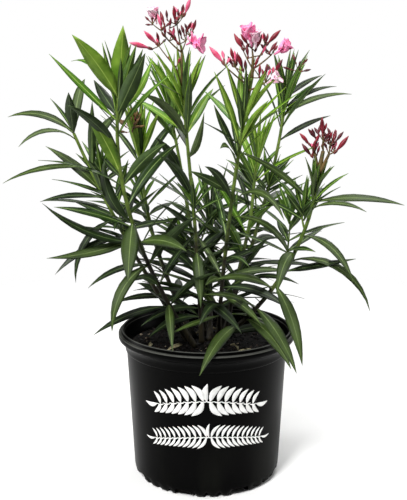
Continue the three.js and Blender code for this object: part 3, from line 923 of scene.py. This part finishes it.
def grow_head(name, stalks, buds, seed):
    """A head's stalks, its buds each on the nearest fork, and two more buds behind each of its forks but
    the first."""
    rng = random.Random(seed)
    depths = {(0, 0): 0.0}
    for across, up, top_across, top_up, thick in stalks:
        depth = depths.get((across, up), 0.0)
        depths[top_across, top_up] = depth + rng.uniform(-HEAD_DEPTH, HEAD_DEPTH)
        grow_stalk(head_place(name, across, depth, up),
                   head_place(name, top_across, depths[top_across, top_up], top_up),
                   thick / 2 * MM, thick * 0.34 * MM)
    for across, up, tip_across, tip_up, kind in buds:
        fork = min(depths, key=lambda place: math.hypot(place[0] - across, place[1] - up))
        depth = depths[fork] + rng.uniform(-4, 4)
        tip_depth = depth + rng.uniform(-0.4, 0.3) * math.hypot(tip_across - across, tip_up - up)
        root = head_place(name, across, depth, up)
        grow_stalk(head_place(name, fork[0], depths[fork], fork[1]), root, TWIG, TWIG_TIP)
        grow_bud(root, head_place(name, tip_across, tip_depth, tip_up), kind, rng)
    forks = list(depths.items())[2:]
    for (across, up), depth in forks:
        for heading in (rng.uniform(50, 90), rng.uniform(90, 130)):
            foot = head_place(name, across, depth, up)
            aim = direction(heading, rng.uniform(25, 60))
            root = foot + aim * rng.uniform(5, 10) * MM
            grow_stalk(foot, root, TWIG, TWIG_TIP)
            tip = root + aim * rng.uniform(12, 19) * MM
            grow_bud(root, tip, rng.choice(("crimson", "dusk", "rose")), rng)


# The two small heads past their best: the stem, how far the head's middle is above its tip and to one side
# (mm), the kind of its buds, their number and length (mm).
SPENT_HEADS = (("withered", 30, -10, "brown", 24, 14), ("right_back", 36, 14, "dusk", 6, 14))
GOLDEN_TURN = 137.5


def grow_spent_heads():
    """The brown dried head on the withered stem, and the few dark buds on the right back stem."""
    rng = random.Random(15)
    for name, rise, side, kind, count, size in SPENT_HEADS:
        top = head_place(name, side, -rise * 0.6, rise)
        grow_stalk(STEMS[name].at(1), top, 1.4 * MM, 1.0 * MM)
        for i in range(count):
            aim = direction(GOLDEN_TURN * i, rng.uniform(5, 80))
            root = top + (aim * rng.uniform(3, 14) - UP * rng.uniform(0, count)) * MM
            grow_stalk(top - UP * count * 0.5 * MM, root, 0.6 * MM, 0.5 * MM)
            grow_bud(root, root + aim * size * rng.uniform(0.7, 1.2) * MM, kind, rng)


def build_flowers():
    """Grows the three flowering heads, the open flowers and the spent heads, each kind one piece."""
    for seed, (name, head) in enumerate(HEADS.items(), start=4):
        grow_head(name, **head, seed=seed)
    rng = random.Random(23)
    for name, across, up, tip_across, tip_up, kind, spread in BLOOMS:
        root = head_place(name, across, -4, up)
        way = head_place(name, tip_across, -12, tip_up) - root
        grow_flower(root, unit(way), float(np.linalg.norm(way)) / 1.4, kind, spread, rng)
    grow_spent_heads()
    for kind, batch in FLOWERS.items():
        heads = [f"flower_head_{name}" for name in HEADS] if kind == "crimson" else ()
        batch.build("stem" if kind == "stalk" else "flower", heads)


# ---------------------------------------------------------------- pot and soil

POT_SIDES = 144
POT_FOOT = 98 * MM  # the radius where the pot stands
POT_WAIST = 106.8 * MM  # the wall's outside radius at its foot
POT_SHOULDER = 115.6 * MM  # and under the lip
WALL_LOW = 12 * MM  # the heights between which the wall is plain
WALL_RUN = 174 * MM
# The pot's wall from the edge of its foot up the outside, over the lip and down the inside: radius and
# height in millimetres.
POT_WALL = (
    (98, 0), (103, 1.5), (105.2, 4), (106.2, 8), (106.7, 11), (106.9, 14), (115.5, 182.6), (115.8, 184),
    (117.2, 185), (117.6, 186.4), (117.8, 189), (118.8, 193.5), (121, 197.6), (124.2, 200.6), (126.4, 202),
    (127, 203.4), (127, 208.6), (126.7, 209.4), (126, 209.9), (124.2, 209.6), (123.2, 209.8),
    (122.8, 211), (122.5, 213.4), (121.9, 214.5), (120.9, 214.8), (120, 214.2), (119.4, 212.8),
    (118.4, 207), (116.4, 197), (114.4, 192.6), (113.2, 184), (104.4, 12), (101, 4.2),
)


def fresh_start(name, add, **size):
    """Deselects everything and adds a primitive, ready in edit mode."""
    bpy.ops.object.select_all(action="DESELECT")
    add(**size)
    piece = bpy.context.object
    piece.name = name
    bpy.ops.object.mode_set(mode="EDIT")
    return piece


def select_points(piece, chosen):
    """Selects the points whose place makes chosen true, and the edges between them, for edit mode."""
    for vertex in piece.data.vertices:
        vertex.select = chosen(*vertex.co)
    for edge in piece.data.edges:
        edge.select = all(piece.data.vertices[i].select for i in edge.vertices)
    for face in piece.data.polygons:
        face.select = False


def finish_shape(piece, finish, sharp):
    """Leaves edit mode, turns the faces out and smooths all but the sharp edges."""
    bpy.ops.mesh.select_all(action="SELECT")
    bpy.ops.mesh.normals_make_consistent(inside=False)
    bpy.ops.object.mode_set(mode="OBJECT")
    bpy.ops.object.shade_smooth_by_angle(angle=math.radians(sharp))
    bpy.ops.object.transform_apply(location=True, rotation=True, scale=True)
    piece.data.materials.clear()
    piece.data.materials.append(finish)


def build_pot():
    """Draws the wall up from the edge of a disc, over the lip and down inside, as one closed shell."""
    pot = fresh_start("pot_shell", bpy.ops.mesh.primitive_circle_add, vertices=POT_SIDES,
                      radius=POT_WALL[0][0] * MM, fill_type="NGON", location=(0, 0, 0))
    bpy.ops.mesh.select_all(action="SELECT")
    bpy.ops.mesh.inset(thickness=6 * MM)
    bpy.ops.mesh.select_all(action="DESELECT")
    bpy.ops.object.mode_set(mode="OBJECT")
    select_points(pot, lambda x, y, z: math.hypot(x, y) > POT_FOOT - MM)
    bpy.ops.object.mode_set(mode="EDIT")
    for (radius, height), (wider, higher) in zip(POT_WALL, POT_WALL[1:]):
        bpy.ops.mesh.extrude_edges_move(TRANSFORM_OT_translate={"value": (0, 0, (higher - height) * MM)})
        bpy.ops.transform.resize(value=(wider / radius, wider / radius, 1), center_override=(0, 0, 0))
    bpy.ops.mesh.edge_face_add()
    finish_shape(pot, pot_finish(), 40)
    cut_drain_slots(pot)
    scallop_foot(pot)
    keep(pot, ["pot"])


DRAIN_SLOTS = 8
FIRST_SLOT = 27  # the heading of the first slot
SLOT_REACH = 102 * MM
SLOT_SIZE = (40 * MM, 24 * MM, 20 * MM)  # through the wall, round it and up, half of it under the foot
SLOT_ROUNDING = 4 * MM


def cut_drain_slots(pot):
    """Cuts the round-cornered drain slots through the foot of the wall."""
    bpy.ops.object.select_all(action="DESELECT")
    cutters = []
    for slot in range(DRAIN_SLOTS):
        heading = FIRST_SLOT + 360 / DRAIN_SLOTS * slot
        bpy.ops.mesh.primitive_cube_add(size=1, location=direction(heading, 0) * SLOT_REACH,
                                        rotation=(0, 0, math.radians(heading)), scale=SLOT_SIZE)
        cutter = bpy.context.object
        bevel = cutter.modifiers.new("rounding", "BEVEL")
        bevel.width = SLOT_ROUNDING
        bevel.segments = 3
        bpy.ops.object.modifier_apply(modifier="rounding")
        cutters.append(cutter)
    for cutter in cutters:
        cutter.select_set(True)
    bpy.context.view_layer.objects.active = cutters[0]
    bpy.ops.object.join()
    bpy.ops.object.select_all(action="DESELECT")
    pot.select_set(True)
    bpy.context.view_layer.objects.active = pot
    cut = pot.modifiers.new("slots", "BOOLEAN")
    cut.operation = "DIFFERENCE"
    cut.object = cutters[0]
    cut.solver = "EXACT"
    bpy.ops.object.modifier_apply(modifier="slots")
    bpy.data.objects.remove(cutters[0])


SCALLOP_STEP = 4  # sides of the pot to a scallop
SCALLOP_TOP = 12 * MM  # the height that its points are drawn towards


def at_scallop(x, y, z):
    """True of every fourth point round the foot's edge."""
    on_edge = POT_FOOT - MM < math.hypot(x, y) < POT_WAIST + MM and z < 9 * MM
    step = math.degrees(math.atan2(y, x)) / (360 / POT_SIDES) % SCALLOP_STEP
    return on_edge and min(step, SCALLOP_STEP - step) < 0.4


def scallop_foot(pot):
    """Draws those points up and a little in, for a row of scallops."""
    select_points(pot, at_scallop)
    bpy.ops.object.mode_set(mode="EDIT")
    bpy.ops.transform.resize(value=(0.98, 0.98, 0.55), center_override=(0, 0, SCALLOP_TOP))
    bpy.ops.object.mode_set(mode="OBJECT")


def pot_radius(height):
    """The outside radius of the plain part of the wall, at a height in metres."""
    share = (height - WALL_LOW) / WALL_RUN
    return POT_WAIST + (POT_SHOULDER - POT_WAIST) * share


INK = 0.25 * MM  # how far the print stands out of the wall, and reaches into it
# The two printed sprays, the bold one over the slender one: the middle, height, reach to each side and
# rise of the middle over the ends, the pairs of leaves on a side, and the longest leaf's length and width.
PRINTED_SPRAYS = (
    (0, 132 * MM, 74 * MM, 12 * MM, 7, 28 * MM, 8.4 * MM),
    (3 * MM, 80 * MM, 84 * MM, 12 * MM, 11, 22 * MM, 4.4 * MM),
)
PRINTED_LEANS = (54, -52)  # of the leaves over and under the spray's stem


def printed_blade(batch, along, height, lean, length, width, side):
    """One printed leaf on the pot's front. along and height place its foot, and lean is from the level,
    away from the middle on the side named by side, 1 or -1."""
    a = math.radians(lean)
    rings = []
    for t in np.linspace(0.001, 0.999, 9):
        bow = 0.12 * length * math.sin(math.pi * t) * (1 if lean > 0 else -1)
        x = length * t * math.cos(a) - bow * math.sin(a)
        z = height + length * t * math.sin(a) + bow * math.cos(a)
        half = width / 2 * math.sin(math.pi * t ** 0.85) ** 0.8 + 0.15 * MM
        ring = [(x - half * across * math.sin(a), z + half * across * math.cos(a), lift)
                for across, lift in ((-1, -INK), (-1, INK), (0, INK), (1, INK), (1, -INK), (0, -INK))]
        rings.append([np.append(direction(math.degrees((along + side * u) / POT_SHOULDER) - 90, 0)[:2]
                                * (pot_radius(v) + w), v) for u, v, w in ring])
    batch.add(*rings_mesh(np.array(rings)))


def build_print():
    """The white print on the pot's front: two arched sprays of leaves, each the same to both sides."""
    batch = Batch("pot_print", [plain_finish("white_ink", "e2e2df", "fbfbf9", 0.5, 140)])
    for middle, height, reach, rise, pairs, length, width in PRINTED_SPRAYS:
        for side in (-1, 1):
            for i in range(pairs):
                t = (i + 0.4) / pairs
                foot = height + rise * math.cos(math.pi * t / 2)
                size = 1 - 0.35 * t
                for lean in PRINTED_LEANS:
                    printed_blade(batch, middle + side * reach * t, foot, lean,
                                  length * size, width * size, side)
                printed_blade(batch, middle + side * reach * (t - 0.5 / pairs), foot + 0.3 * MM, -6 * t,
                              1.15 * reach / pairs, 1.6 * MM, side)
            printed_blade(batch, middle + side * reach, height, -4, length * 0.8, width * 0.7, side)
        printed_blade(batch, middle, height + rise, 88, length * 0.9, width, 1)
    batch.build("print")


SOIL_FOOT = 99.5 * MM  # the plug's radius at its foot
SOIL_FLARE = 1.122  # how much wider it is at its top
SOIL_RINGS = 34


def build_soil():
    """The root ball's mix: a tapered plug with a rough top, under loose crumbs."""
    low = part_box("soil")[0]
    soil = fresh_start("soil_mix", bpy.ops.mesh.primitive_circle_add, vertices=72, radius=SOIL_FOOT,
                       fill_type="NGON", location=(0, 0, low.z))
    bpy.ops.mesh.select_mode(type="FACE")
    bpy.ops.mesh.select_all(action="SELECT")
    bpy.ops.mesh.extrude_region_move(TRANSFORM_OT_translate={"value": (0, 0, SOIL_TOP - low.z - MM)})
    bpy.ops.transform.resize(value=(SOIL_FLARE, SOIL_FLARE, 1), center_override=(0, 0, 0))
    for _ in range(SOIL_RINGS):
        bpy.ops.mesh.inset(thickness=3.2 * MM)
    finish_shape(soil, soil_finish(), 60)
    for strength, scale in ((7 * MM, 34 * MM), (4 * MM, 9 * MM)):
        clods = bpy.data.textures.new("clods", "CLOUDS")
        clods.noise_scale = scale
        rough = soil.modifiers.new("rough", "DISPLACE")
        rough.texture = clods
        rough.texture_coords = "LOCAL"
        rough.direction = "Z"
        rough.strength = strength
        rough.mid_level = 0.5
        bpy.ops.object.modifier_apply(modifier="rough")
    keep(soil, ["soil"])
    scatter_crumbs()


CRUMBS = 950
CRUMB_TONES = {"black": ("020101", "080605"), "brown": ("100906", "2a1b12"), "pale": ("6b5d4d", "a89a84")}
CRUMB_WEIGHTS = (20, 7, 1)  # how often each tone comes
# The shed leaves: the heading and reach of the foot, the heading of the leaf, its length and its width.
# Lengths are in millimetres.
SHED_LEAVES = ((296, 78, 20, 46, 9), (220, 74, 40, 40, 6), (250, 66, 320, 26, 5), (205, 92, 70, 34, 6),
               (70, 60, 200, 50, 9), (130, 84, 10, 44, 8), (318, 60, 100, 26, 6))


def scatter_crumbs():
    """Loose crumbs of mix and bark chips, and a few shed leaves, on top of the soil."""
    rng = random.Random(61)
    batch = Batch("soil_crumbs", [plain_finish(f"crumb_{tone}", *colours, 0.8, 300)
                                  for tone, colours in CRUMB_TONES.items()])
    for _ in range(CRUMBS):
        reach = (SOIL_RADIUS - 4 * MM) * math.sqrt(rng.random())
        place = direction(rng.uniform(0, 360), 0) * reach + UP * (SOIL_TOP + rng.uniform(-1, 1.5) * MM)
        size = rng.uniform(1.2, 3.6) * MM * (1.4 if rng.random() < 0.1 else 1)
        ahead = direction(rng.uniform(0, 360), rng.uniform(-30, 30))
        flat = rng.uniform(0.4, 0.9)
        line = [place + ahead * size * t for t in (-0.8, -0.3, 0.35, 0.8)]
        radii = [size * flat * r * rng.uniform(0.7, 1.1) for r in (0.3, 0.7, 0.6, 0.2)]
        points, faces, _ = tube(line, radii, 5)
        tone = rng.choices((0, 1, 2), CRUMB_WEIGHTS)[0]
        batch.add(points, faces, [tone] * len(faces))
    batch.build("soil")
    shed = Batch("shed_leaves", [plain_finish("shed_leaf", "5f5942", "97906f", 0.7),
                                 plain_finish("shed_rib", "857c5e", "aaa180", 0.7),
                                 plain_finish("shed_underside", "58523c", "857d60", 0.75)])
    for heading, reach, turn, length, width in SHED_LEAVES:
        root = direction(heading, 0) * reach * MM + UP * (SOIL_TOP + 2.5 * MM)
        shed.add(*leaf_shape(dict(root=root, heading=turn, rise=16, bend=36, length=length * MM,
                                  width=width * MM, fold=26, droop=-0.2, roll=20, twist=50, sway=30,
                                  wave=0.1)))
    shed.build("old_leaf")


# ---------------------------------------------------------------- studio

# The lamps: name, place, width, height and watts.
LAMPS = (
    ("key", (-0.7, -1.4, 1.9), 0.6, 0.6, 62),
    ("top", (0.2, 0.1, 2.2), 0.9, 0.9, 30),
    ("left_panel", (-1.5, 0.2, 0.5), 0.5, 1.3, 14),
    ("right_panel", (1.5, 0.2, 0.5), 0.5, 1.3, 12),
    ("back", (0.5, 1.6, 1.5), 1.0, 1.0, 14),
)
LIT_POINT = Vector((0, 0, 0.35))
CAMERA_PLACE = (-0.0043, -1.125, 0.5507)
CAMERA_TILT = 11.24  # down from the level
CAMERA_LENS = 57.96  # mm, over a 36 mm sensor
FLOOR_FADE = (0.2, 1.3)  # how far out the floor starts to fade, and where it is gone
ROOM_LIGHT = 0.05  # how much of the white round the plant lights it


def studio_lights(scene):
    """A soft key at the upper left, a lamp overhead, two tall side panels that put a sheen on the pot, and
    a back light."""
    for name, place, wide, high, power in LAMPS:
        light = bpy.data.objects.new(name, bpy.data.lights.new(name, "AREA"))
        light.data.shape = "RECTANGLE"
        light.data.size = wide
        light.data.size_y = high
        light.data.energy = power
        light.location = place
        light.rotation_euler = (LIT_POINT - Vector(place)).to_track_quat("-Z", "Y").to_euler()
        scene.collection.objects.link(light)


def studio_floor():
    """A pale paper floor that fades into the white round it."""
    bpy.ops.object.select_all(action="DESELECT")
    bpy.ops.mesh.primitive_circle_add(vertices=96, radius=4, fill_type="NGON", location=(0, 0, -0.0002))
    floor = bpy.context.object
    floor.name = "studio_floor"
    paper = Finish("studio_paper", Base_Color=rgb("fbfbfa"), Roughness=0.9, Specular_IOR_Level=0.1)
    away = paper.node("ShaderNodeVectorMath", {"operation": "LENGTH"}, {0: paper.place()}, "Value")
    clear = paper.node("ShaderNodeBsdfTransparent", {}, {})
    shader = Field(paper, paper.shader.outputs["BSDF"])
    fading = paper.node("ShaderNodeMixShader", {}, {0: away.between(*FLOOR_FADE), 1: shader, 2: clear})
    paper.put(paper.tree.nodes["Material Output"].inputs["Surface"], fading)
    floor.data.materials.append(paper.material)


def studio_world(scene):
    """White behind the plant, and a dimmer light from all round it."""
    world = bpy.data.worlds.new("studio")
    scene.world = world
    world.use_nodes = True
    background = world.node_tree.nodes["Background"]
    background.inputs["Color"].default_value = (1, 1, 1, 1)
    seen = world.node_tree.nodes.new("ShaderNodeLightPath")
    strength = world.node_tree.nodes.new("ShaderNodeMapRange")
    strength.inputs["To Min"].default_value = ROOM_LIGHT
    strength.inputs["To Max"].default_value = 1.0
    world.node_tree.links.new(seen.outputs["Is Camera Ray"], strength.inputs["Value"])
    world.node_tree.links.new(strength.outputs["Result"], background.inputs["Strength"])


def studio():
    """The floor, the white round it, the lamps and the camera."""
    scene = bpy.context.scene
    scene.view_settings.view_transform = "Standard"
    studio_floor()
    studio_world(scene)
    studio_lights(scene)
    camera = bpy.data.objects.new("camera", bpy.data.cameras.new("camera"))
    camera.data.lens = CAMERA_LENS
    camera.data.sensor_width = 36
    camera.location = CAMERA_PLACE
    camera.rotation_euler = (math.radians(90 - CAMERA_TILT), 0, 0)
    scene.collection.objects.link(camera)
    scene.camera = camera


build_pot()
build_print()
build_soil()
build_stems()
build_leaves()
build_flowers()
studio()
